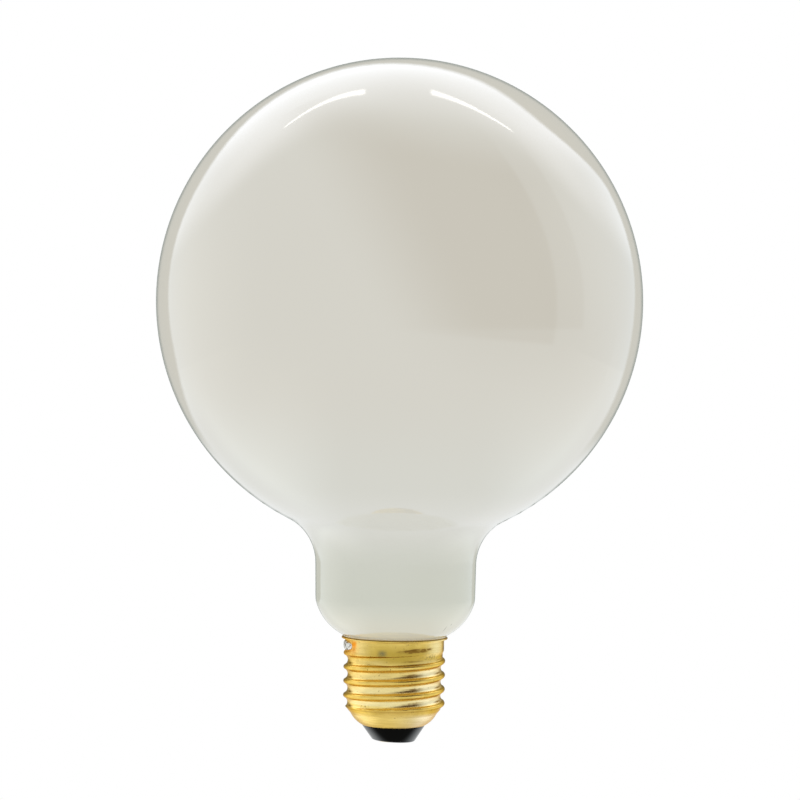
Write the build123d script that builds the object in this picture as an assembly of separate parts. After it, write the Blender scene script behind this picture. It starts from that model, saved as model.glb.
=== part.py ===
from build123d import *
import os
from math import atan2, cos, pi, radians, sin, sqrt, tan

os.makedirs("parts", exist_ok=True)

# A globe lamp with an opal glass bulb and a rolled brass screw cap, in millimetres.
# The lamp's axis is Z. The origin is the middle of the centre contact's lowest face.

# Glass bulb
globe_diameter = 125.0
globe_height = 86.1  # globe's centre above the cap's rim
shoulder_radius = 12.8  # hollow curve from the globe into the neck
neck_foot_diameter = 41.1
neck_foot_height = 9.5  # above the cap's rim
neck_taper = 1.0  # degrees, the neck widens upwards
foot_round = 5.0
heel_radius = 13.3  # belly of the glass between the neck's foot and the rim
rim_gap = 0.2  # between the glass and the cap's skirt at the rim
stem_length = 12.0  # sealed end of the glass inside the cap
stem_clearance = 0.25  # between the sealed end and the cap's bore
stem_bevel = 2.0

# Screw cap, rolled from sheet
thread_crest_diameter = 26.2
thread_pitch = 3.629
thread_depth = 1.1
crest_share = 0.4  # of the thread's outline, on the crest's arc
first_crest_drop = 6.05  # first full crest on the +X side, below the rim
shell_height = 22.7  # rim to the edge round the insulator
shell_wall = 0.35
core_depth = 0.1  # metal kept under the thread's roots
skirt_step = 0.35  # skirt's outside, inside the crests
skirt_height = 3.3
skirt_taper_length = 2.4  # skirt's foot to the thread's roots
lip_overhang = 0.9
lip_thickness = 0.4
lip_bend = 0.3
lip_bevel = 0.12
dome_radius = 7.0  # rounded bottom of the shell
opening_diameter = 16.0
upper_runout_length = 1.2  # below the skirt's foot, where the first turn rises
lower_runout_drop = 0.5  # where the last turn starts to fade, below the top of the dome
lower_runout_length = 4.0
lower_runout_angle = 40.0  # degrees

# Black glass insulator
nose_height = 3.9  # below the shell's edge
nose_diameter = 11.0
nose_bevel = 0.4
collar_height = 0.2  # straight stretch below the shell's edge
insulator_depth = 4.2  # above the shell's edge

# Centre contact, an eyelet closed with solder
contact_diameter = 8.0
contact_thickness = 0.3
contact_recess = 0.15
eyelet_diameter = 2.6
eyelet_wall = 0.3
eyelet_length = 2.0
contact_solder_diameter = 4.4
contact_flat_diameter = 2.0
contact_solder_height = 0.35
contact_solder_depth = 1.2  # inside the eyelet

# Capping cement between the glass and the skirt
cement_drop = 1.0  # below the rim
cement_length = 2.3

# Side solder, which joins a lead wire to the skirt
side_solder_angle = 196.0  # degrees from +X towards +Y
side_solder_arc = 21.0  # degrees, between the middles of the bead's round ends
side_solder_radius = 1.45
side_solder_proud = 0.7  # beyond the skirt
side_solder_drop = 2.0  # middle of the bead below the rim

section_points = 26  # round the thread's cross-section
crest_margin = 0.3  # by which the bodies that shape the cap pass its crests and lip

# Levels along the axis
contact_z = contact_solder_height
insulator_z = contact_z + contact_thickness - contact_recess
shell_edge_z = insulator_z + nose_height
rim_z = shell_edge_z + shell_height
globe_z = rim_z + globe_height
skirt_foot_z = rim_z - skirt_height
root_top_z = skirt_foot_z - skirt_taper_length

# Radii of the cap, from the thread's crests inwards
crest_r = thread_crest_diameter / 2
root_r = crest_r - thread_depth
core_r = root_r - core_depth
bore_r = core_r - shell_wall
skirt_r = crest_r - skirt_step
skirt_bore_r = skirt_r - shell_wall
lip_r = skirt_r + lip_overhang
opening_r = opening_diameter / 2
stem_r = bore_r - stem_clearance
eyelet_r = eyelet_diameter / 2
eyelet_bore_r = eyelet_r - eyelet_wall

# Middle of the dome's arc, which leaves the core upright and ends at the opening
dome_r = core_r - dome_radius
dome_z = shell_edge_z + sqrt(dome_radius**2 - (opening_r - dome_r) ** 2)


def eased(face, ease, corners):
    """Fillet or chamfer corners of an outline, each given as a point near it and a size."""
    for point, size in corners:
        face = ease(face.vertices().sort_by_distance(point)[0], size)
    return face


def turned(face):
    """Turn an outline, drawn as radius and height, about the lamp's axis."""
    return revolve(Plane.XZ * face, Axis.Z)


def disc(radius, low, high):
    """A plain disc on the axis between two levels."""
    base = (Align.CENTER, Align.CENTER, Align.MIN)
    return Pos(0, 0, low) * Cylinder(radius, high - low, align=base)


def make_glass_bulb():
    """Globe, neck and sealed end: one closed piece that can't be seen into."""
    foot = (neck_foot_diameter / 2, rim_z + neck_foot_height)
    neck_rise = globe_height - neck_foot_height
    neck_top = (foot[0] + neck_rise * tan(radians(neck_taper)), globe_z)
    rim = (skirt_bore_r - rim_gap, rim_z)
    stem_top = (stem_r, rim_z - (rim[0] - stem_r))
    stem_end = (stem_r, rim_z - stem_length)
    neck = make_face(
        [
            RadiusArc(rim, foot, -heel_radius),
            Polyline(foot, neck_top, (0, globe_z), (0, stem_end[1]), stem_end, stem_top, rim),
        ]
    )
    half = Pos(globe_diameter, globe_z) * Rectangle(2 * globe_diameter, 2 * globe_diameter)
    globe = Pos(0, globe_z) * Circle(globe_diameter / 2) & half
    shoulder = (neck_top[0], globe_z - globe_diameter / 2)
    outline = eased(neck + globe, fillet, [(shoulder, shoulder_radius), (foot, foot_round)])
    return turned(eased(outline, chamfer, [(stem_end, stem_bevel)]))


def dome_arc(radius, end_r):
    """Arc of the shell's bottom, from its upright start to a smaller radius."""
    start = (dome_r + radius, dome_z)
    end = (end_r, dome_z - sqrt(radius**2 - (end_r - dome_r) ** 2))
    middle = Vector(start[0] - dome_r, 0).rotate(Axis.Z, -45) + Vector(dome_r, dome_z)
    return ThreePointArc(start, middle, end)


def make_shell_inside():
    """Space inside the cap, from below its edge to above its rim."""
    dome = dome_arc(dome_radius - shell_wall, opening_r)
    bend = lip_bend + shell_wall
    low_z = shell_edge_z - shell_wall
    high_z = rim_z + shell_wall
    mouth_low = (skirt_bore_r, rim_z - bend)
    mouth_high = (skirt_bore_r + bend, rim_z)
    sides = Polyline(
        dome @ 0,
        (bore_r, root_top_z),
        (skirt_bore_r, skirt_foot_z),
        mouth_low,
        mouth_high,
        (mouth_high[0], high_z),
        (0, high_z),
        (0, low_z),
        (opening_r, low_z),
        dome @ 1,
    )
    return turned(make_face([dome, sides]))


def thread_radius(share):
    """Radius of the thread at a share of the pitch from a crest: two tangent arcs."""
    half = thread_pitch / 2
    flank = 2 * atan2(thread_depth, half)
    crest_arc = crest_share * half / sin(flank)
    root_arc = (1 - crest_share) * half / sin(flank)
    along = min(share, 1 - share) * thread_pitch
    if along < crest_share * half:
        return crest_r - crest_arc + sqrt(crest_arc**2 - along**2)
    return root_r + root_arc - sqrt(root_arc**2 - (half - along) ** 2)


def make_screw():
    """Right-hand thread, a cross-section twisted up the axis and filled to it."""
    low_z = shell_edge_z - shell_wall
    length = rim_z - lip_thickness - low_z
    start = (low_z - (rim_z - first_crest_drop)) / thread_pitch
    points = []
    for step in range(section_points):
        share = step / section_points
        angle = 2 * pi * (start + share)
        radius = thread_radius(share)
        points.append(Vector(radius * cos(angle), radius * sin(angle), low_z))
    section = Wire([Edge.make_spline(points, periodic=True)])
    turns = length / thread_pitch
    return Solid.extrude_linear_with_rotation(section, (0, 0, low_z), (0, 0, length), 360 * turns)


def make_skirt_blank():
    """Cone that closes the grooves under the skirt and gives the metal for skirt and lip."""
    wide_r = lip_r + crest_margin
    outline = Polyline(
        (0, root_top_z - crest_margin),
        (core_r, root_top_z - crest_margin),
        (core_r, root_top_z),
        (wide_r, rim_z),
        (wide_r, rim_z + crest_margin),
        (0, rim_z + crest_margin),
        close=True,
    )
    return turned(make_face(outline))


def make_envelope():
    """Lip, skirt, run-outs and dome that the outside of the cap is trimmed to."""
    trim_r = crest_r + crest_margin
    fade_z = dome_z - lower_runout_drop
    fade_end_z = fade_z - lower_runout_length
    lip_foot = (skirt_r, rim_z - lip_thickness)
    lip_low = (lip_r, rim_z - lip_thickness)
    lip_high = (lip_r, rim_z)
    outline = Polyline(
        (0, rim_z),
        lip_high,
        lip_low,
        lip_foot,
        (skirt_r, skirt_foot_z),
        (trim_r, skirt_foot_z - upper_runout_length),
        (trim_r, fade_z),
        (trim_r - lower_runout_length * tan(radians(lower_runout_angle)), fade_end_z),
        (0, fade_end_z),
        close=True,
    )
    corners = [(lip_foot, lip_bend), (lip_low, lip_bevel), (lip_high, lip_bevel)]
    upper = eased(make_face(outline), chamfer, corners)
    arc = dome_arc(dome_radius, opening_r)
    dome = make_face([arc, Polyline(arc @ 1, (0, shell_edge_z), (0, dome_z), arc @ 0)])
    return turned(upper + dome)


def make_insulator(shell_inside):
    """Black glass plug that fills the dome, with a tapered nose below the shell's edge."""
    plug = disc(crest_r, shell_edge_z, shell_edge_z + insulator_depth) & shell_inside
    nose_foot = (nose_diameter / 2, insulator_z)
    outline = Polyline(
        (0, insulator_z),
        nose_foot,
        (opening_r, shell_edge_z - collar_height),
        (opening_r, shell_edge_z),
        (0, shell_edge_z),
        close=True,
    )
    nose = turned(eased(make_face(outline), chamfer, [(nose_foot, nose_bevel)]))
    recess = disc(contact_diameter / 2, insulator_z - contact_recess, insulator_z + contact_recess)
    hole = disc(eyelet_r, insulator_z, rim_z)
    return plug + nose - recess - hole


def make_contact():
    """Flanged eyelet seated in the insulator's recess and hole."""
    flange_z = contact_z + contact_thickness
    flange = disc(contact_diameter / 2, contact_z, flange_z)
    tube = disc(eyelet_r, flange_z, flange_z + eyelet_length)
    return flange + tube - disc(eyelet_bore_r, contact_z, flange_z + eyelet_length)


def make_contact_solder():
    """Solder in the eyelet, flattened where it meets the lampholder."""
    flat = (contact_flat_diameter / 2, 0)
    edge = (contact_solder_diameter / 2, contact_z)
    fill_z = contact_z + contact_solder_depth
    fill = [(eyelet_bore_r, contact_z), (eyelet_bore_r, fill_z), (0, fill_z), (0, 0)]
    return turned(make_face(Polyline(flat, edge, *fill, close=True)))


def make_cement(shell_inside, glass):
    """Ring of cement that holds the glass in the skirt."""
    high_z = rim_z - cement_drop
    return (disc(crest_r, high_z - cement_length, high_z) & shell_inside) - glass


def make_side_solder(cap_outside):
    """Bead of solder that follows the skirt, with round ends."""
    middle_r = skirt_r + side_solder_proud - side_solder_radius
    place = Pos(middle_r, 0, rim_z - side_solder_drop)
    first = side_solder_angle - side_solder_arc / 2
    last = side_solder_angle + side_solder_arc / 2
    circle = Rot(0, 0, first) * place * Rot(90, 0, 0) * Circle(side_solder_radius)
    bead = revolve(circle, Axis.Z, side_solder_arc)
    for angle in (first, last):
        bead += Rot(0, 0, angle) * place * Sphere(side_solder_radius)
    return bead - cap_outside


glass = make_glass_bulb()
shell_inside = make_shell_inside()
cap_outside = (make_screw() + make_skirt_blank()) & make_envelope()

pieces = {
    "glass_bulb": glass,
    "screw_cap": cap_outside - shell_inside,
    "cap_insulator": make_insulator(shell_inside),
    "centre_contact": make_contact(),
    "contact_solder": make_contact_solder(),
    "capping_cement": make_cement(shell_inside, glass),
    "side_solder": make_side_solder(cap_outside),
}
for name, shape in pieces.items():
    export_step(shape, f"parts/{name}.step")
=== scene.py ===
import bpy
from math import atan2, cos, hypot, pi, radians, sin, sqrt, tan
from mathutils import Matrix, Vector, noise


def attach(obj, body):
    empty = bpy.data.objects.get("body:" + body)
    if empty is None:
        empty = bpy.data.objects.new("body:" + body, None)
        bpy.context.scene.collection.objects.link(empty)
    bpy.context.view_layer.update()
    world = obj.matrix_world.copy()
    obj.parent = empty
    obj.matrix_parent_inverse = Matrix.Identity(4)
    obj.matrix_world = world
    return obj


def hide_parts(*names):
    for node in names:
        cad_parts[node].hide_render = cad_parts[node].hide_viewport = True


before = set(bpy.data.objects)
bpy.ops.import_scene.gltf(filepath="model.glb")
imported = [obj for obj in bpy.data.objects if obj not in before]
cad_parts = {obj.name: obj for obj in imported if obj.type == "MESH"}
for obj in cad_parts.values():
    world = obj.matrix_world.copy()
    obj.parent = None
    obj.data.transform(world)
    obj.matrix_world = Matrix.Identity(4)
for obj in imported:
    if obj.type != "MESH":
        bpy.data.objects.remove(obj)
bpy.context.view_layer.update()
millimetre = 0.001
print("stage: frame loaded")


class Wire:  # a socket whose maths adds nodes
    def __init__(self, tree, socket=None):
        self.tree = tree
        self.socket = socket

    def node(self, kind, settings=None, inputs=None, output=0):
        made = self.tree.nodes.new(kind)
        for name, value in (settings or {}).items():
            setattr(made, name, value)
        for name, value in (inputs or {}).items():
            if isinstance(value, Wire):
                self.tree.links.new(value.socket, made.inputs[name])
            else:
                made.inputs[name].default_value = value
        return Wire(self.tree, made.outputs[output] if made.outputs else None)

    def maths(self, operation, *values):
        return self.node("ShaderNodeMath", {"operation": operation}, dict(enumerate(values)))

    def __add__(self, other):
        return self.maths("ADD", self, other)

    def __radd__(self, other):
        return self.maths("ADD", other, self)

    def __sub__(self, other):
        return self.maths("SUBTRACT", self, other)

    def __rsub__(self, other):
        return self.maths("SUBTRACT", other, self)

    def __mul__(self, other):
        return self.maths("MULTIPLY", self, other)

    def __rmul__(self, other):
        return self.maths("MULTIPLY", other, self)

    def __truediv__(self, other):
        return self.maths("DIVIDE", self, other)

    def __rtruediv__(self, other):
        return self.maths("DIVIDE", other, self)

    def smooth(self, low, high):  # 0 up to low, 1 from high on
        ends = {"Value": self, "From Min": low, "From Max": high}
        return self.node("ShaderNodeMapRange", {"interpolation_type": "SMOOTHSTEP"}, ends)

    def band(self, low, full, fade, gone):
        return self.smooth(low, full) * (1 - self.smooth(fade, gone))

    def near(self, middle, reach):  # 1 in the middle, 0 from the reach on
        return 1 - self.maths("ABSOLUTE", self - middle).smooth(0.0, reach)

    def mix(self, first, second):
        return self.node("ShaderNodeMix", {"data_type": "RGBA"}, {0: self, 6: first, 7: second}, 2)

    def split(self):
        return [self.node("ShaderNodeSeparateXYZ", None, {0: self}, axis) for axis in range(3)]

    def noise(self, scale, detail):
        return self.node("ShaderNodeTexNoise", None, {"Vector": self, "Scale": scale, "Detail": detail})

    def clouds(self, scale, detail, low, high):
        return self.noise(scale, detail).smooth(low, high)


def newMaterial(name):
    material = bpy.data.materials.new(name)
    material.use_nodes = True
    material.node_tree.nodes.clear()
    return material, Wire(material.node_tree)


def surface(wire, sockets):
    shine = wire.node("ShaderNodeBsdfPrincipled", None, sockets)
    wire.node("ShaderNodeOutputMaterial", None, {"Surface": shine})


def place(wire):  # object position in millimetres
    spot = wire.node("ShaderNodeTexCoord", None, None, 3)
    return spot.node("ShaderNodeVectorMath", {"operation": "SCALE"}, {0: spot, "Scale": 1 / millimetre})


def turnOf(across, deep):  # degrees around the axis, -90 towards the viewer
    return across.maths("ARCTAN2", deep, across) * (180 / pi)


def rgb(red, green, blue):  # from display values
    return [((c / 255 + 0.055) / 1.055) ** 2.4 for c in (red, green, blue)] + [1.0]


def meshPiece(name, rings, closed, sharp, first=None, last=None):
    count = len(rings[0])
    points = [point for ring in rings for point in ring]
    faces = []
    spans = len(rings) if closed else len(rings) - 1
    for row in range(spans):
        low = row * count
        high = (row + 1) % len(rings) * count
        for step in range(count):
            after = (step + 1) % count
            faces.append((low + step, low + after, high + after, high + step))
    for pole, base, flip in ((first, 0, True), (last, (len(rings) - 1) * count, False)):
        if pole is not None:
            points.append(pole)
            for step in range(count):
                edge = (base + step, base + (step + 1) % count)
                faces.append((*(reversed(edge) if flip else edge), len(points) - 1))
    mesh = bpy.data.meshes.new(name)
    mesh.from_pydata([Vector(point) * millimetre for point in points], [], faces)
    mesh.shade_smooth()
    mesh.set_sharp_from_angle(angle=radians(sharp))
    piece = bpy.data.objects.new(name, mesh)
    bpy.context.scene.collection.objects.link(piece)
    return piece


def ringAt(radius, height, count):
    turns = [2 * pi * step / count for step in range(count)]
    return [(radius * cos(turn), radius * sin(turn), height) for turn in turns]


def lathe(name, profile, count, sharp):
    first = (0, 0, profile[0][1]) if profile[0][0] == 0 else None
    last = (0, 0, profile[-1][1]) if profile[-1][0] == 0 else None
    rings = [ringAt(radius, height, count) for radius, height in profile if radius > 0]
    return meshPiece(name, rings, first is None and last is None, sharp, first, last)


def arc(centre, radius, start, end, steps):  # angles in degrees
    turns = [radians(start + (end - start) * step / steps) for step in range(steps + 1)]
    return [(centre[0] + radius * cos(turn), centre[1] + radius * sin(turn)) for turn in turns]


def angleTo(centre, point):
    return atan2(point[1] - centre[1], point[0] - centre[0]) * 180 / pi


def dress(piece, material, node):
    piece.data.materials.append(material)
    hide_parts(node)
    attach(piece, "root")


def repaint(node, material):  # a CAD node that keeps its mesh
    node.data.materials.clear()
    node.data.materials.append(material)


# Opal glass, in millimetres
glassValues = {
    "globeRadius": 62.45,
    "globeHeight": 113.2,
    "shoulderRadius": 12.8,
    "footRadius": 20.55,
    "footHeight": 36.6,
    "taper": 1.0,
    "heelRadius": 13.3,
    "rimRadius": 12.2,
    "rimHeight": 27.1,
    "seatRadius": 13.3,
    "seatBend": [(-0.1, 0.01), (0.0, 0.06), (0.05, 0.25)],  # outwards and up from the seat's edge
    "stemRadius": 11.3,
    "stemFoot": 15.1,
    "stemBevel": 2,
    "bendLength": 0.9,
    "poleAngle": 89.2,
    "count": 240,
    "sharp": 60,
    "body": rgb(212, 208, 196),
    # lower, shoulder and heel are painted light, lighter than the glass's own body tone; seat is painted
    # brownish shade where the glass meets the lip
    "lower": rgb(214, 213, 203),
    "shoulder": rgb(222, 221, 213),
    "neck": rgb(204, 205, 190),
    "heel": rgb(217, 214, 196),
    "seat": rgb(168, 142, 80),
    "mark": rgb(120, 115, 95),
    "bodyFrom": (66.0, 92.0),  # heights over which a tone gives way to the one above
    "neckUpTo": (38.0, 62.0),
    "heelUpTo": (28.5, 38.0),
    "seatUpTo": (27.25, 27.7),
    "shoulderAt": (58.0, 9.0),
    "shoulderShare": 0.7,
    "marks": [(-42.3, 0.6, 30.3, 1.1), (-37.8, 0.7, 31.4, 0.35)],  # turn and height, each with its reach
    "markShare": 0.9,
    "rough": 0.045,
    "ior": 1.8,
}
g = glassValues


def glassProfile():
    foot = (g["footRadius"], g["footHeight"])
    rim = (g["rimRadius"], g["rimHeight"])
    globe = (0, g["globeHeight"])
    fillet = g["shoulderRadius"]
    # the shoulder's centre lies beside the tapered neck and a fillet away from the globe
    along = (sin(radians(g["taper"])), cos(radians(g["taper"])))
    out = (along[1], -along[0])
    start = (foot[0] + fillet * out[0], foot[1] + fillet * out[1] - globe[1])
    half = start[0] * along[0] + start[1] * along[1]
    reach = (g["globeRadius"] + fillet) ** 2 - start[0] ** 2 - start[1] ** 2
    way = -half - sqrt(half**2 + reach)
    shoulder = (start[0] + way * along[0], start[1] + way * along[1] + globe[1])
    neckTop = (shoulder[0] - fillet * out[0], shoulder[1] - fillet * out[1])
    # the heel bulges from the rim to the foot of the neck, where a short bend rounds the corner
    middle = ((rim[0] + foot[0]) / 2, (rim[1] + foot[1]) / 2)
    chord = (foot[0] - rim[0], foot[1] - rim[1])
    span = hypot(*chord)
    rise = sqrt(g["heelRadius"] ** 2 - (span / 2) ** 2) / span
    heel = (middle[0] - chord[1] * rise, middle[1] + chord[0] * rise)
    heelArc = arc(heel, g["heelRadius"], angleTo(heel, rim), angleTo(heel, foot), 40)
    before = heelArc[-3]
    after = (foot[0] + g["bendLength"] * along[0], foot[1] + g["bendLength"] * along[1])
    bend = []
    for step in range(9):
        t = step / 8
        ways = zip(before, foot, after)
        bend.append([(1 - t) ** 2 * a + 2 * t * (1 - t) * b + t**2 * c for a, b, c in ways])
    neck = [[a + (b - a) * step / 6 for a, b in zip(after, neckTop)] for step in range(1, 6)]
    join = angleTo(shoulder, globe)
    shoulderArc = arc(shoulder, fillet, 180 - g["taper"], join, 26)
    globeArc = arc(globe, g["globeRadius"], join - 180, g["poleAngle"], 130)
    stem, low, bevel, seat = g["stemRadius"], g["stemFoot"], g["stemBevel"], g["seatRadius"]
    inside = [(0, low), (stem - bevel, low), (stem, low + bevel), (stem, rim[1] - (rim[0] - stem)), rim]
    inside += [(seat + outwards, rim[1] + up) for outwards, up in g["seatBend"]]
    heelArc = [point for point in heelArc if point[0] > seat + 0.1]
    top = (0, g["globeHeight"] + g["globeRadius"])
    return inside + heelArc[:-3] + bend + neck + shoulderArc + globeArc[1:] + [top]


glass = lathe("opal_globe", glassProfile(), g["count"], g["sharp"])
opal, wire = newMaterial("opal_glass")
across, deep, height = place(wire).split()
turn = turnOf(across, deep)
# Painted light: the lower globe, the shoulder and the heel are made lighter, and the seat gets painted
# brownish shade by the lip; the marks are real
base = height.smooth(*g["bodyFrom"]).mix(g["lower"], g["body"])
base = height.smooth(*g["neckUpTo"]).mix(g["neck"], base)
base = (height.near(*g["shoulderAt"]) * g["shoulderShare"]).mix(base, g["shoulder"])
base = height.smooth(*g["heelUpTo"]).mix(g["heel"], base)
base = height.smooth(*g["seatUpTo"]).mix(g["seat"], base)
first, second = [turn.near(*mark[:2]) * height.near(*mark[2:]) for mark in g["marks"]]
base = ((first + second) * g["markShare"]).mix(base, g["mark"])
surface(wire, {"Base Color": base, "Roughness": g["rough"], "IOR": g["ior"]})
dress(glass, opal, "glass_bulb")
print("stage: glass")

# Brass cap, in millimetres
capValues = {
    "rim": 27.1,
    "edge": 4.4,
    "crestRadius": 13.1,
    "depth": 1.1,
    "pitch": 3.629,
    "firstCrest": 6.05,
    "crestShare": 0.32,
    "coreRadius": 11.9,
    "skirtRadius": 12.75,
    "skirtFoot": 23.8,
    "rootTop": 21.4,
    "lipRadius": 13.65,
    "lipThickness": 0.4,
    "lipFillet": 0.3,
    "lipRound": 0.15,
    "domeRadius": 7.0,
    "openingRadius": 8.0,
    "wall": 0.35,
    "margin": 0.3,
    "upperRunout": 1.2,
    "fillRadius": 12.45,
    "fillFoot": 20.8,
    "fillTop": 22.4,
    "fillTurn": -28.0,
    "fillReach": 100.0,
    "fillFade": 3,
    "lowerDrop": 0.5,
    "lowerAngle": 40.0,
    "lowerReach": 4,
    "innerStart": -8,
    "levelStep": 0.1,
    "count": 240,
    "sharp": 50,
    # tones of the brass
    "gold": [0.81, 0.55, 0.14, 1.0],
    "dull": [0.57, 0.375, 0.06, 1.0],
    "dusk": [0.45, 0.29, 0.04, 1.0],
    # pale and cream are painted highlights in the grooves and on the sides of the skirt
    "pale": [0.94, 0.78, 0.41, 1.0],
    "cream": [0.93, 0.78, 0.47, 1.0],
    # dome, domeLeft and domeRight are painted reflection: more golden at the front, paler at the sides
    "dome": [0.92, 0.65, 0.18, 1.0],
    "domeLeft": [0.79, 0.65, 0.36, 1.0],
    "domeRight": [0.93, 0.78, 0.53, 1.0],
    "rimTint": [0.78, 0.60, 0.38, 1.0],
    # colours of marks
    "speck": [0.16, 0.09, 0.03, 1.0],
    "scorch": [0.85, 0.27, 0.015, 1.0],
    "burn": [0.80, 0.42, 0.11, 1.0],
    "char": [0.58, 0.22, 0.025, 1.0],
    # painted dark reflection, for the skirt streaks, the grooves and the crest ends
    "darkReflection": [0.17, 0.075, 0.010, 1.0],
    # line: rolled lines, painted shade in the crease and partly painted reflection along the crests
    "line": [0.50, 0.29, 0.05, 1.0],
    "grime": [0.17, 0.15, 0.07, 1.0],
    # strength of each layer
    "frontDullShare": 0.25,
    "duskShare": 0.9,
    "highlightRightShare": 0.8,
    "highlightLeftShare": 0.2,
    "domeShare": 0.9,
    "lastTurnShare": 0.8,
    "creaseShare": 0.6,
    "speckShare": 0.8,
    "mottleShare": 0.6,
    "smudgeShare": 0.95,
    "blotShare": 0.85,
    "rollAndReflectionShare": 0.5,
    "endShare": 0.95,
    "scorchShare": 0.9,
    "lineShare": 0.22,
    # tones around the cap: a turn with its reach, or four turns from none to full to none
    "frontDullTurn": (-95.0, 50.0),
    "duskTurn": (-82.0, 78.0),
    "brightTurns": (-74.0, -46.0, 20.0, 70.0),
    "highlightRightTurn": (-28.0, 30.0),
    "highlightLeftTurn": (-136.0, 24.0),
    "domeTurn": (-102.0, 66.0),
    "lastTurns": (-178.0, -150.0, -80.0, -60.0),
    "grooveTurn": (-66.0, 19.0),
    "endTurns": [(-158.0, 12.0), (-23.0, 14.0)],
    # depths under the rim
    "frontDullDepth": (3.6, 4.8),
    "duskDepths": (0.2, 3.6, 5.2, 6.6),
    "skirtDepth": (3.4, 4.6),
    "valleyDepths": (4.6, 5.6, 17.0, 18.2),
    "paleDepth": (6.0, 16.0),
    "domeDepth": (18.4, 19.8),
    "rollAndReflectionDepths": (5.0, 6.5, 17.0, 18.5),
    "grooveDepths": (4.6, 5.6, 16.6, 17.6),
    "endDepths": (4.6, 5.6, 17.2, 18.2),
    # places on the thread: radius, height, or share of a turn from crest to crest
    "valleyRadius": (12.15, 12.6),
    "lastTurnHeight": (10.1, 0.6),
    "creaseHeight": (9.04, 0.4),
    "rollAndReflectionPlace": (0.09, 0.035),
    "groovePlace": (0.45, 0.13),
    "endPlace": (0.33, 0.11),
    # marks: turn and depth under the rim, each with its reach
    "mottleAt": (-42.0, 26.0, 4.3, 1.6),
    "smudgeAt": (-104.0, 8.0, 3.2, 1.3),
    "blotAt": (-8.0, 8.0, 2.5, 0.7),
    # the streaks are painted dark reflection
    "streaksAt": [(-63.0, 19.0, 2.5, 0.75), (-76.0, 15.0, 2.75, 0.6), (-48.0, 14.0, 2.2, 0.5)],
    "scorchAt": (-143.5, 6.5, 1.4, 1.3),
    "fluxTurn": 196.0,
    "fluxReach": (26.0, 36.0),
    "fluxDepth": (2.3, 3.4),
    # clouds: scale, detail, low and high
    "patchClouds": (0.35, 3.0, 0.35, 0.75),
    "speckClouds": (1.5, 3.0, 0.66, 0.74),
    "mottleClouds": (2.2, 2.0, 0.42, 0.62),
    "smudgeClouds": (1.6, 2.0, 0.2, 0.5),
    "streakClouds": (1.6, 2.0, 0.38, 0.58),
    "charClouds": (1.1, 2.0, 0.38, 0.62),
    "lineClouds": (1.0, 3.0, 0.35, 0.7),
    "rough": 0.2,
    "bump": 0.06,
    "bumpDistance": 0.0004,
}
c = capValues
domeMiddle = c["coreRadius"] - c["domeRadius"]
domeHeight = c["edge"] + sqrt(c["domeRadius"] ** 2 - (c["openingRadius"] - domeMiddle) ** 2)
trimRadius = c["crestRadius"] + c["margin"]
fadeHeight = domeHeight - c["lowerDrop"]
flank = 2 * atan2(c["depth"], c["pitch"] / 2)
crestArc = c["crestShare"] * c["pitch"] / 2 / sin(flank)
rootArc = (1 - c["crestShare"]) * c["pitch"] / 2 / sin(flank)
coneSlope = (c["lipRadius"] + c["margin"] - c["coreRadius"]) / (c["rim"] - c["rootTop"])


def domeAt(height):
    if height > domeHeight:
        return c["coreRadius"]
    return domeMiddle + sqrt(c["domeRadius"] ** 2 - (domeHeight - height) ** 2)


def envelopeAt(height):  # the skirt, then the crests, which fade into the dome
    if height > c["skirtFoot"]:
        return c["skirtRadius"]
    if height > c["skirtFoot"] - c["upperRunout"]:
        share = (c["skirtFoot"] - height) / c["upperRunout"]
        return c["skirtRadius"] + share * (trimRadius - c["skirtRadius"])
    faded = trimRadius - max(0, fadeHeight - height) * tan(radians(c["lowerAngle"]))
    return max(faded, domeAt(height)) if height > fadeHeight - c["lowerReach"] else domeAt(height)


def threadAt(turn, height):  # one arc over the crest, one in the root
    share = ((height - c["rim"] + c["firstCrest"]) / c["pitch"] - turn / (2 * pi)) % 1
    along = min(share, 1 - share) * c["pitch"]
    if along < c["crestShare"] * c["pitch"] / 2:
        return c["crestRadius"] - crestArc + sqrt(crestArc**2 - along**2)
    return c["crestRadius"] - c["depth"] + rootArc - sqrt(rootArc**2 - (c["pitch"] / 2 - along) ** 2)


def capRing(height):
    cone = c["coreRadius"] + max(0, height - c["rootTop"]) * coneSlope
    ring = []
    for step in range(c["count"]):
        turn = 2 * pi * step / c["count"]
        away = abs((turn * 180 / pi - c["fillTurn"] + 180) % 360 - 180) / c["fillReach"]
        share = min(1, c["fillFade"] * max(0, 1 - away))  # the first groove starts shallow
        limit, filled = envelopeAt(height), c["coreRadius"]
        if height > c["fillFoot"]:
            filled += (c["fillRadius"] - c["coreRadius"]) * share
        if height > c["fillTop"]:
            limit = min(limit, c["skirtRadius"] + 1 - share)
        radius = min(limit, max(threadAt(turn, height), cone, filled))
        ring.append((radius * cos(turn), radius * sin(turn), height))
    return ring


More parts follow.
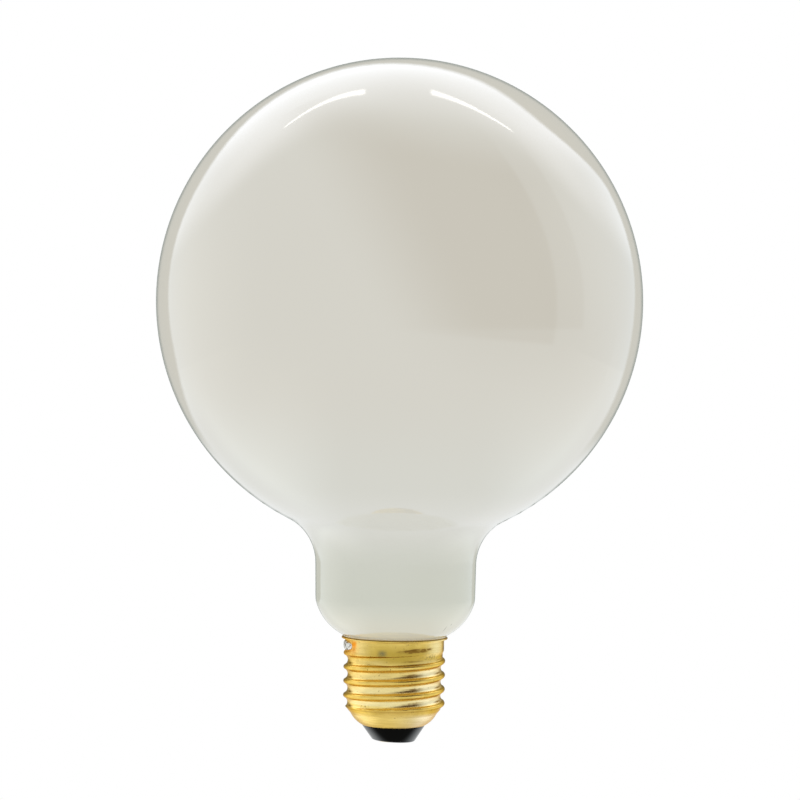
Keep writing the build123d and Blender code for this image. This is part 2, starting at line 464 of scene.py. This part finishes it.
def capRings():  # up the outside, over the lip and down the inside
    top, lip, skirt, core = c["rim"], c["lipRadius"], c["skirtRadius"], c["coreRadius"]
    fillet, bevel, wall = c["lipFillet"], c["lipRound"], c["wall"]
    under = top - c["lipThickness"]
    low, high = c["edge"], under - fillet
    levels = int((high - low) / c["levelStep"])
    rings = [capRing(low + (high - low) * step / levels) for step in range(levels + 1)]
    outline = arc((skirt + fillet, under - fillet), fillet, 180, 90, 5)[1:]
    outline += arc((lip - bevel, under + bevel), bevel, -90, 0, 3)
    outline += arc((lip - bevel, top - bevel), bevel, 0, 90, 3)
    outline += [(skirt - wall, top), (skirt - wall, c["skirtFoot"])]
    outline += [(core - wall, c["rootTop"]), (core - wall, domeHeight)]
    inner, opening = c["domeRadius"] - wall, c["openingRadius"] - domeMiddle
    stop = -atan2(sqrt(inner**2 - opening**2), opening)
    outline += arc((domeMiddle, domeHeight), inner, c["innerStart"], stop * 180 / pi, 8)
    return rings + [ringAt(radius, height, c["count"]) for radius, height in outline]


cap = meshPiece("brass_cap", capRings(), True, c["sharp"])
brass, wire = newMaterial("brass")
spot = place(wire)
across, deep, tall = spot.split()
turn = turnOf(across, deep)
below = c["rim"] - tall
radius = across.maths("SQRT", across * across + deep * deep)
phase = (tall - c["rim"] + c["firstCrest"]) / c["pitch"] - turn / 360
fromCrest = phase.maths("FRACT", phase)
ridge = phase.maths("PINGPONG", phase, 0.5)


def patch(turnAt, turnReach, depthAt, depthReach):
    return turn.near(turnAt, turnReach) * below.near(depthAt, depthReach)


def lay(mask, share, under, colour):
    return (mask * c[share]).mix(under, c[colour])


# Plain brass: darker on the skirt, most at its front, with painted highlights that make it paler in the
# grooves, towards the right and on the skirt's two sides
patchy = spot.clouds(*c["patchClouds"])
# darker and duller towards the front of the skirt
frontDull = turn.near(*c["frontDullTurn"]) * (1 - below.smooth(*c["frontDullDepth"])) * c["frontDullShare"]
base = (patchy * 0.6 + frontDull * (1 - patchy)).mix(c["gold"], c["dull"])
base = lay(turn.near(*c["duskTurn"]) * below.band(*c["duskDepths"]), "duskShare", base, "dusk")
# painted highlights: the grooves paler, most towards the right
bright = turn.band(*c["brightTurns"])
valley = (1 - radius.smooth(*c["valleyRadius"])) * below.band(*c["valleyDepths"])
paleShare = below.smooth(*c["paleDepth"]) * 0.55 + 0.2
paleShare = paleShare + (0.95 - paleShare) * bright
base = (valley * paleShare).mix(base, bright.mix(c["pale"], c["cream"]))
skirt = 1 - below.smooth(*c["skirtDepth"])
# painted highlights on the right and the left of the skirt
base = lay(turn.near(*c["highlightRightTurn"]) * skirt, "highlightRightShare", base, "pale")
base = lay(turn.near(*c["highlightLeftTurn"]) * skirt, "highlightLeftShare", base, "cream")

# Dome, more golden at the front and paler at the sides as painted reflection, with the end of the thread
# and painted shade as a dark line in a crease above it
domeSide = bright.mix(c["domeLeft"], c["domeRight"])
domeTone = turn.near(*c["domeTurn"]).mix(domeSide, c["dome"])
base = (below.smooth(*c["domeDepth"]) * c["domeShare"]).mix(base, domeTone)
lastTurn = tall.near(*c["lastTurnHeight"]) * turn.band(*c["lastTurns"])
base = lay(lastTurn, "lastTurnShare", base, "dome")
# painted shade: a dark line along the crease
creaseRise = turn.maths("MAXIMUM", turn + 100, 0.0) * 0.005
base = lay((tall - creaseRise).near(*c["creaseHeight"]), "creaseShare", base, "line")

# Specks and grime on the skirt, and streaks of painted dark reflection
specks = spot.clouds(*c["speckClouds"])
base = lay(specks, "speckShare", base, "speck")
mottle = patch(*c["mottleAt"]) * spot.clouds(*c["mottleClouds"])
base = lay(mottle, "mottleShare", base, "grime")
base = lay(patch(*c["smudgeAt"]) * spot.clouds(*c["smudgeClouds"]), "smudgeShare", base, "grime")
base = lay(patch(*c["blotAt"]), "blotShare", base, "speck")
# streaks of painted dark reflection, broken up by noise
streakSpace = wire.node("ShaderNodeCombineXYZ", None, {0: turn * 0.09, 2: tall * 1.1})
drawn = streakSpace.clouds(*c["streakClouds"])
wide, faint, thin = [patch(*streak) for streak in c["streaksAt"]]
streaky = (wide + faint * 0.5) * (drawn * 0.75 + 0.35) + thin * drawn * 0.45
base = streaky.maths("MINIMUM", streaky * 2.3, 0.95).mix(base, c["darkReflection"])

# Lines that follow the thread: crest lines, partly rolling marks and partly painted reflection, and
# painted dark reflection in the grooves and at the crest ends
base = lay(ridge.near(*c["rollAndReflectionPlace"]) * below.band(*c["rollAndReflectionDepths"]), "rollAndReflectionShare", base, "line")
# painted dark reflection in the grooves
groove = fromCrest.near(*c["groovePlace"]) * turn.near(*c["grooveTurn"]) * below.band(*c["grooveDepths"])
groove = groove * (drawn * 0.6 + 0.5)
base = groove.maths("MINIMUM", groove * 1.2, 0.85).mix(base, c["darkReflection"])
# painted dark reflection at the ends of the crests
left, right = [turn.near(*end) for end in c["endTurns"]]
ends = fromCrest.near(*c["endPlace"]) * (left + right) * below.band(*c["endDepths"])
base = lay(ends, "endShare", base, "darkReflection")

# Burnt flux around the solder, then fine lines from rolling
wrapped = turn.maths("PINGPONG", turn - c["fluxTurn"], 180.0)
fluxEdge = spot.noise(0.8, 2.0) * 12 + wrapped
flux = (1 - fluxEdge.smooth(*c["fluxReach"])) * below.near(*c["fluxDepth"])
base = flux.mix(base, spot.clouds(*c["charClouds"]).mix(c["burn"], c["char"]))
base = lay(patch(*c["scorchAt"]), "scorchShare", base, "scorch")
rolledOut = {0: across * 0.24, 1: deep * 0.24, 2: tall * 2.6}
lines = wire.node("ShaderNodeCombineXYZ", None, rolledOut).clouds(*c["lineClouds"])
base = lay(lines, "lineShare", base, "line")
ripples = lines * 0.4 + spot.noise(0.9, 3.0) * 0.7 + mottle * 0.8 + specks * 0.5
dents = {"Strength": c["bump"], "Distance": c["bumpDistance"], "Height": ripples}
surface(wire, {
    "Base Color": base,
    "Metallic": 1.0,
    "Roughness": c["rough"] + patchy * 0.08 + specks * 0.25 + flux * 0.25,
    "Normal": wire.node("ShaderNodeBump", None, dents),
    "Specular Tint": c["rimTint"],
})
dress(cap, brass, "screw_cap")
repaint(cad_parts["centre_contact"], brass)
print("stage: brass cap")

# Black glass insulator, in millimetres
noseValues = {
    "foot": 0.5,
    "footRadius": 5.5,
    "round": 0.6,
    "recessRadius": 4.0,
    "recess": 0.15,
    "collar": 0.2,
    "tuck": 0.3,
    "tuckIn": 0.1,
    "tilt": 2.5,
    "count": 160,
    "sharp": 35,
    "glass": [0.003, 0.0028, 0.0024, 1.0],
    "rough": 0.14,
    "dustRough": 0.12,
    "dustClouds": (0.6, 3.0, 0.4, 0.8),
    "gloss": 0.022,
    "slant": (0.26, 0.5),
    "coatRough": 0.12,
    "tint": [1.0, 0.93, 0.84, 1.0],
}
n = noseValues
edge, opening = c["edge"], c["openingRadius"]
floor = n["foot"] + n["recess"]
lean = atan2(opening - n["footRadius"], edge - n["collar"] - n["foot"])
cut = n["round"] * tan((pi / 2 - lean) / 2)
roundMiddle = (n["footRadius"] - cut, n["foot"] + n["round"])
profile = [(0, floor), (n["recessRadius"], floor), (n["recessRadius"], n["foot"])]
profile += arc(roundMiddle, n["round"], -90, -lean * 180 / pi, 8)
profile += [(opening, edge - n["collar"]), (opening, edge)]
profile += [(opening - n["tuckIn"], edge + n["tuck"]), (0, edge + n["tuck"])]
nose = lathe("black_glass_nose", profile, n["count"], n["sharp"])
for vertex in nose.data.vertices:  # the foot leans a little
    drop = (edge * millimetre - vertex.co.z) / (edge - n["foot"]) / millimetre
    if hypot(vertex.co.x, vertex.co.y) > n["recessRadius"] * millimetre * 1.05:
        vertex.co.z -= max(0, drop) * vertex.co.x * tan(radians(n["tilt"]))
blackGlass, wire = newMaterial("black_glass")
dust = place(wire).clouds(*n["dustClouds"])
facing = wire.node("ShaderNodeLayerWeight", None, {"Blend": 0.5}, "Facing")
surface(wire, {
    "Base Color": n["glass"],
    "Roughness": n["rough"] + dust * n["dustRough"],
    "Specular IOR Level": n["gloss"],
    "Coat Weight": facing.smooth(*n["slant"]),
    "Coat Roughness": n["coatRough"],
    "Coat Tint": n["tint"],
})
dress(nose, blackGlass, "cap_insulator")
print("stage: insulator")

# Solder bead on the skirt: turns in degrees, the rest in millimetres
beadValues = {
    "turn": 196.0,
    "halfTurn": 17.0,
    "middle": 25.1,
    "halfHeight": 1.4,
    "proud": 0.72,
    "most": 0.88,
    "sunk": 0.25,
    "lumps": 0.45,
    "lumpScale": (2.6, 1.6),
    "ridge": 1.8,
    "ridgeAt": 0.436,
    "ridgeLean": 0.262,
    "ridgeRise": 1.1,
    "ridgeSink": 0.3,
    "wobble": 0.12,
    "wobbleScale": 1.5,
    "rings": 30,
    "count": 96,
    "sharp": 60,
    "metal": [0.64, 0.60, 0.54, 1.0],
    "dross": [0.13, 0.09, 0.05, 1.0],
    "drossClouds": (1.3, 3.0, 0.48, 0.6),
    "drossShare": 0.85,
    "rough": 0.28,
    "drossRough": 0.3,
    "bump": 0.5,
    "bumpDistance": 0.0003,
}
b = beadValues


def beadPoint(reach, way, sunk):
    side, up = reach * cos(way), reach * sin(way)
    lump = noise.noise(Vector((side * b["lumpScale"][0], up * b["lumpScale"][1], 3.1)))
    ridge = (side - b["ridgeAt"] - b["ridgeLean"] * up) * b["halfTurn"] / b["ridge"]
    lump += b["ridgeRise"] / (1 + ridge**4) - b["ridgeSink"]
    height = b["proud"] * sqrt(max(0, 1 - reach**2)) * (1 + b["lumps"] * lump) - b["sunk"] * reach**4
    radius = c["skirtRadius"] + (-b["sunk"] if sunk else min(height, b["most"]))
    around = Vector((cos(way) * b["wobbleScale"], sin(way) * b["wobbleScale"], 7.7))
    wobble = 1 + b["wobble"] * noise.noise(around)
    turn = radians(b["turn"] + b["halfTurn"] * wobble * side)
    return radius * cos(turn), radius * sin(turn), b["middle"] + b["halfHeight"] * wobble * up


ways = [2 * pi * step / b["count"] for step in range(b["count"])]
reaches = [(b["rings"] - row) / b["rings"] for row in range(b["rings"])]
rings = [[beadPoint(reach, way, False) for way in ways] for reach in reaches]
poles = [beadPoint(0, 0, sunk) for sunk in (True, False)]
bead = meshPiece("solder_bead", rings, False, b["sharp"], *poles)
solder, wire = newMaterial("solder")
spot = place(wire)
dross = spot.clouds(*b["drossClouds"])
dents = {"Strength": b["bump"], "Distance": b["bumpDistance"], "Height": spot.noise(1.6, 2.0)}
surface(wire, {
    "Base Color": (dross * b["drossShare"]).mix(b["metal"], b["dross"]),
    "Metallic": 1.0,
    "Roughness": b["rough"] + dross * b["drossRough"],
    "Normal": wire.node("ShaderNodeBump", None, dents),
})
dress(bead, solder, "side_solder")

# Solder drop in the centre contact, of the same metal: radius and height in millimetres
dropValues = {
    "profile": [
        (0, 0), (0.7, 0), (1.1, 0.02), (1.5, 0.08), (1.85, 0.17), (2.08, 0.27), (2.2, 0.37),
        (1.0, 0.4), (0, 0.4),
    ],
    "count": 96,
    "sharp": 50,
}
drop = lathe("contact_drop", dropValues["profile"], dropValues["count"], dropValues["sharp"])
dress(drop, solder, "contact_solder")
print("stage: solder")

# Cement, out of sight between glass and skirt
cementValues = {
    "pale": [0.50, 0.42, 0.30, 1.0],
    "dark": [0.38, 0.31, 0.22, 1.0],
    "grain": (1.4, 4.0),
    "rough": 0.9,
}
cement, wire = newMaterial("cement")
grain = place(wire).noise(*cementValues["grain"])
base = grain.mix(cementValues["pale"], cementValues["dark"])
surface(wire, {"Base Color": base, "Roughness": cementValues["rough"]})
repaint(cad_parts["capping_cement"], cement)
print("stage: cement")

# Camera: places in metres, focal length and picture in pixels
cameraValues = {
    "back": 0.610,
    "right": 0.000474,
    "height": 0.08806,
    "roll": 0.84,
    "focal": 2367.0,
    "picture": 800,
    "sensor": 36.0,
}
focal, picture = cameraValues["focal"], cameraValues["picture"]
eye = Vector((cameraValues["right"], -cameraValues["back"], cameraValues["height"]))
turned = Matrix.Rotation(pi / 2, 3, "X") @ Matrix.Rotation(radians(cameraValues["roll"]), 3, "Z")
lens = bpy.data.cameras.new("camera")
lens.sensor_width = cameraValues["sensor"]
lens.lens = focal / picture * cameraValues["sensor"]
lens.dof.use_dof = False
camera = bpy.data.objects.new("camera", lens)
camera.matrix_world = Matrix.Translation(eye) @ turned.to_4x4()
scene = bpy.context.scene
scene.collection.objects.link(camera)
scene.camera = camera
print("stage: camera")

# Studio: a white world, and cards that only reflections see. Card distances are in metres,
# rows, columns and widths in picture pixels, and reaches in radii of the globe
roomValues = {
    "white": [1.0, 1.0, 1.0, 1.0],
    "fill": [0.97, 0.97, 0.97, 1.0],
    "front": [0.95, 1.05, 1.13, 1.0],
    "above": [2.05, 2.15, 2.35, 1.0],
    "below": [0.82, 0.86, 0.89, 1.0],
    "flank": [1.45, 1.52, 1.54, 1.0],
    "lowRim": [1.00, 1.03, 1.06, 1.0],
    "strip": [6.0, 6.0, 6.0, 1.0],
    "back": [0.55, 0.56, 0.52, 1.0],
    "edge": [0.27, 0.31, 0.30, 1.0],
    "dark": [0.08, 0.04, 0.015, 1.0],
    "middle": (399.6, 301.3),  # of the globe
    "radius": 243.7,
    "rings": 40,
    "steps": 96,
    "roomDistance": 1.3,
    "roomLimit": 0.997,
    "sides": (-60.0, 60.0),
    "boxRow": 103,
    "boxLift": 3,
    "boxBow": 0.0029,
    "boxWide": 110.0,
    "boxSoft": (16, 20),
    "boxDimReach": (0.82, 0.91),
    "boxDimRows": (125.0, 180.0),
    "boxDim": (0.35, 0.25),
    "limbReach": (0.88, 0.98),
    "limbShare": 0.5,
    "deskMiddle": 12,
    "deskAside": (60.0, 150.0),
    "deskRows": (380.0, 490.0),
    "flankRows": (315.0, 480.0),
    "flankRight": 0.3,
    "tableLine": (350, 175, 0.45),
    "tableSoft": (-1.5, 1.5),
    "tableAside": (150.0, 190.0),
    "tableShare": 0.3,
    "windowAside": (-215.0, -130.0),
    "windowRows": (310.0, 190.0),
    "windowShare": 0.75,
    "lowRimReach": (0.9, 0.97),
    "lowRimRows": (380.0, 440.0),
    "strips": [
        {"row": 102.5, "column": 325, "slope": -0.439, "bend": 0.00441, "tip": 284, "grow": 0.028,
         "ends": (282.0, 288.0, 362.0, 367.0)},
        {"row": 108, "column": 473, "slope": 0.49, "bend": 0.00274, "tip": 513, "grow": -0.028,
         "ends": (429.0, 434.0, 509.0, 515.0)},
    ],
    "stripLeast": 0.7,
    "stripSoft": 1.35,
    "bandReach": 0.978,
    "bandEnd": (425.0, 470.0),
    "bandDark": (0.986, 0.996),
    "thinReach": (0.989, 0.997),
    "darkDistance": 0.12,
    "darkLimit": 0.9,
    "darkLeft": (362, 180, 0.5),
    "darkTop": (124, 400, 0.2),
    "hazeEdge": (545, 180, 0.3),
    "hazeRows": (305.0, 415.0),
    "innerFoot": (334, 469, 0.09),
    "outerRows": (326.0, 332.0),
    "darkBow": (557, 305, 0.0024),
    "darkShares": (0.4, 0.35, 0.25),
}
r = roomValues
scene.view_settings.view_transform = "Standard"
world = bpy.data.worlds.new("studio")
scene.world = world
world.use_nodes = True
world.node_tree.nodes.clear()
wire = Wire(world.node_tree)
rays = ("Is Camera Ray", "Is Glossy Ray", "Is Transmission Ray")
sees = [wire.node("ShaderNodeLightPath", None, None, name) for name in rays]
backdrop = sees[0].maths("MAXIMUM", sees[0], sees[1].maths("MAXIMUM", sees[1], sees[2]))
light = backdrop.mix(r["fill"], r["white"])
glow = wire.node("ShaderNodeBackground", None, {"Color": light, "Strength": 1.0})
wire.node("ShaderNodeOutputWorld", None, {"Surface": glow})
globeMiddle = Vector((0, 0, g["globeHeight"] * millimetre))


def mirrored(column, row, distance):  # what the globe reflects at a point of the picture
    sight = turned @ Vector((column - picture / 2, picture / 2 - row, -focal)).normalized()
    radius = g["globeRadius"] * millimetre
    apart = eye - globeMiddle
    half = apart.dot(sight)
    hit = eye + sight * (-half - sqrt(max(0, half**2 - apart.dot(apart) + radius**2)))
    facing = (hit - globeMiddle).normalized()
    return hit + (sight - 2 * sight.dot(facing) * facing) * distance


def hide(piece):  # from all but reflections
    piece.visible_camera = False
    piece.visible_diffuse = False
    piece.visible_shadow = False


def pictureCard(name, distance, limit, closed):  # laid out by the points of the picture that mirror it
    rings, steps = r["rings"], r["steps"]
    points, spots, faces = [], [], []
    for ring in range(rings + 1):
        size = r["radius"] * (sin(pi / 2 * max(ring, 0.02) / rings) * limit)
        for step in range(steps):
            way = 2 * pi * step / steps
            spot = (r["middle"][0] + size * cos(way), r["middle"][1] - size * sin(way))
            points.append(mirrored(*spot, distance))
            spots.append((spot[0] / picture, spot[1] / picture))
            if ring:
                low, after = (ring - 1) * steps, (step + 1) % steps
                faces.append((low + step, low + after, low + steps + after, low + steps + step))
    if closed:  # behind the globe, where the picture shows nothing of it
        points.append(globeMiddle + (globeMiddle - eye).normalized() * distance)
        last = rings * steps
        faces += [(last + step, last + (step + 1) % steps, len(spots)) for step in range(steps)]
    mesh = bpy.data.meshes.new(name)
    mesh.from_pydata(points, [], faces)
    layer = mesh.uv_layers.new(name="picture")
    for loop in mesh.loops:
        known = loop.vertex_index < len(spots)
        layer.data[loop.index].uv = spots[loop.vertex_index] if known else layer.data[loop.index - 1].uv
    piece = bpy.data.objects.new(name, mesh)
    scene.collection.objects.link(piece)
    hide(piece)
    material, wire = newMaterial(name)
    piece.data.materials.append(material)
    flat = wire.node("ShaderNodeTexCoord", None, None, 2).split()
    return wire, flat[0] * picture, flat[1] * picture


def slanted(along, across, at, acrossAt, slope):  # distance past a sloping line
    return along - at - (across - acrossAt) * slope


wire, column, row = pictureCard("room", r["roomDistance"], r["roomLimit"], True)
aside = column - r["middle"][0]
apart = row - r["middle"][1]
reach = aside.maths("SQRT", aside * aside + apart * apart) / r["radius"]
farAside = aside.maths("ABSOLUTE", aside)
side = aside.smooth(*r["sides"])  # 0 at the left, 1 at the right

# Bright above, a darker desk below, pale flanks and a window at the left
spread = aside.near(0.0, r["boxWide"]) * r["boxSoft"][0] + r["boxSoft"][1]
boxLine = row - r["boxRow"] + side * r["boxLift"] - aside * aside * r["boxBow"]
box = 1 - (boxLine / spread).smooth(-1.0, 0.9)
dim = reach.smooth(*r["boxDimReach"]) * row.smooth(*r["boxDimRows"])
box = box * (1 - dim * (r["boxDim"][0] + side * r["boxDim"][1]))
limb = 1 - reach.smooth(*r["limbReach"]) * r["limbShare"]
wide = aside.maths("ABSOLUTE", aside - r["deskMiddle"]).smooth(*r["deskAside"])
low = row.smooth(*r["deskRows"])
light = (low * (1 - wide)).mix(box.mix(r["front"], r["above"]), r["below"])
flanks = row.smooth(*r["flankRows"]) * wide * limb * (1 - side * r["flankRight"])
light = flanks.mix(light, r["flank"])
table = slanted(row, farAside, *r["tableLine"]).smooth(*r["tableSoft"]) * farAside.smooth(*r["tableAside"])
light = (table * limb * r["tableShare"]).mix(light, r["flank"])
window = (1 - aside.smooth(*r["windowAside"])) * row.near(*r["windowRows"])
light = (window * limb * r["windowShare"]).mix(light, r["flank"])
light = (reach.smooth(*r["lowRimReach"]) * row.smooth(*r["lowRimRows"])).mix(light, r["lowRim"])


def lampStrip(s):  # a bowed, tapering line
    off = column - s["column"]
    line = row - s["row"] - off * (s["slope"] + off * s["bend"])
    width = (column - s["tip"]) * s["grow"] + r["stripLeast"]
    return (line / width).near(0.0, r["stripSoft"]) * column.band(*s["ends"])


left, right = [lampStrip(strip) for strip in r["strips"]]
light = (left + right).mix(light, r["strip"])

# Grey band along the globe's edge, only a thin line low down
leftInset = row.smooth(70.0, 190.0) * 0.027 + row.smooth(260.0, 340.0) * 0.005
leftInset = leftInset * (1 - row.smooth(345.0, 440.0))
rightInset = row.near(126.0, 66.0) * 0.036 + row.near(340.0, 90.0) * 0.007 + 0.009
inset = leftInset * (1 - side) + rightInset * side
soft = 0.009 - row.near(262.0, 225.0) * 0.004
greyBand = ((reach - r["bandReach"] + inset) / soft).smooth(-1.0, 1.0) * (1 - row.smooth(*r["bandEnd"]))
softer = row.smooth(475.0, 512.0) * (0.5 + side * 0.4) * (1 - reach.smooth(0.9963, 0.9969))
thin = reach.smooth(*r["thinReach"]) * (1 - softer)
behind = reach.maths("MAXIMUM", greyBand, thin)
light = behind.mix(light, reach.smooth(*r["bandDark"]).mix(r["back"], r["edge"]))
glow = wire.node("ShaderNodeEmission", None, {"Color": light, "Strength": 1.0})
wire.node("ShaderNodeOutputMaterial", None, {"Surface": glow})

# Darker part of the room in front: a haze and two bowed edges
wire, column, row = pictureCard("dark_card", r["darkDistance"], r["darkLimit"], False)
faded = slanted(column, row, *r["darkLeft"]).smooth(-60.0, 60.0)
faded = faded * slanted(row, column, *r["darkTop"]).smooth(-23.0, 35.0)
hazy = (1 - slanted(column, row, *r["hazeEdge"]).smooth(-38.0, 38.0)) * (1 - row.smooth(*r["hazeRows"]))
bowColumn, bowRow, bowBend = r["darkBow"]
bow = column - bowColumn + (row - bowRow) * (row - bowRow) * bowBend
inner = (1 - bow.smooth(-2.5, 2.5)) * (1 - slanted(row, column, *r["innerFoot"]).smooth(0.0, 6.0))
outer = (1 - bow.smooth(24.5, 29.5)) * (1 - row.smooth(*r["outerRows"]))
hazeShare, innerShare, outerShare = r["darkShares"]
shown = faded * (hazy * hazeShare + inner * innerShare + outer * outerShare)
glow = wire.node("ShaderNodeEmission", None, {"Color": r["dark"], "Strength": 1.0})
clear = wire.node("ShaderNodeBsdfTransparent")
veil = wire.node("ShaderNodeMixShader", None, {0: shown, 1: clear, 2: glow})
wire.node("ShaderNodeOutputMaterial", None, {"Surface": veil})
print("stage: studio")
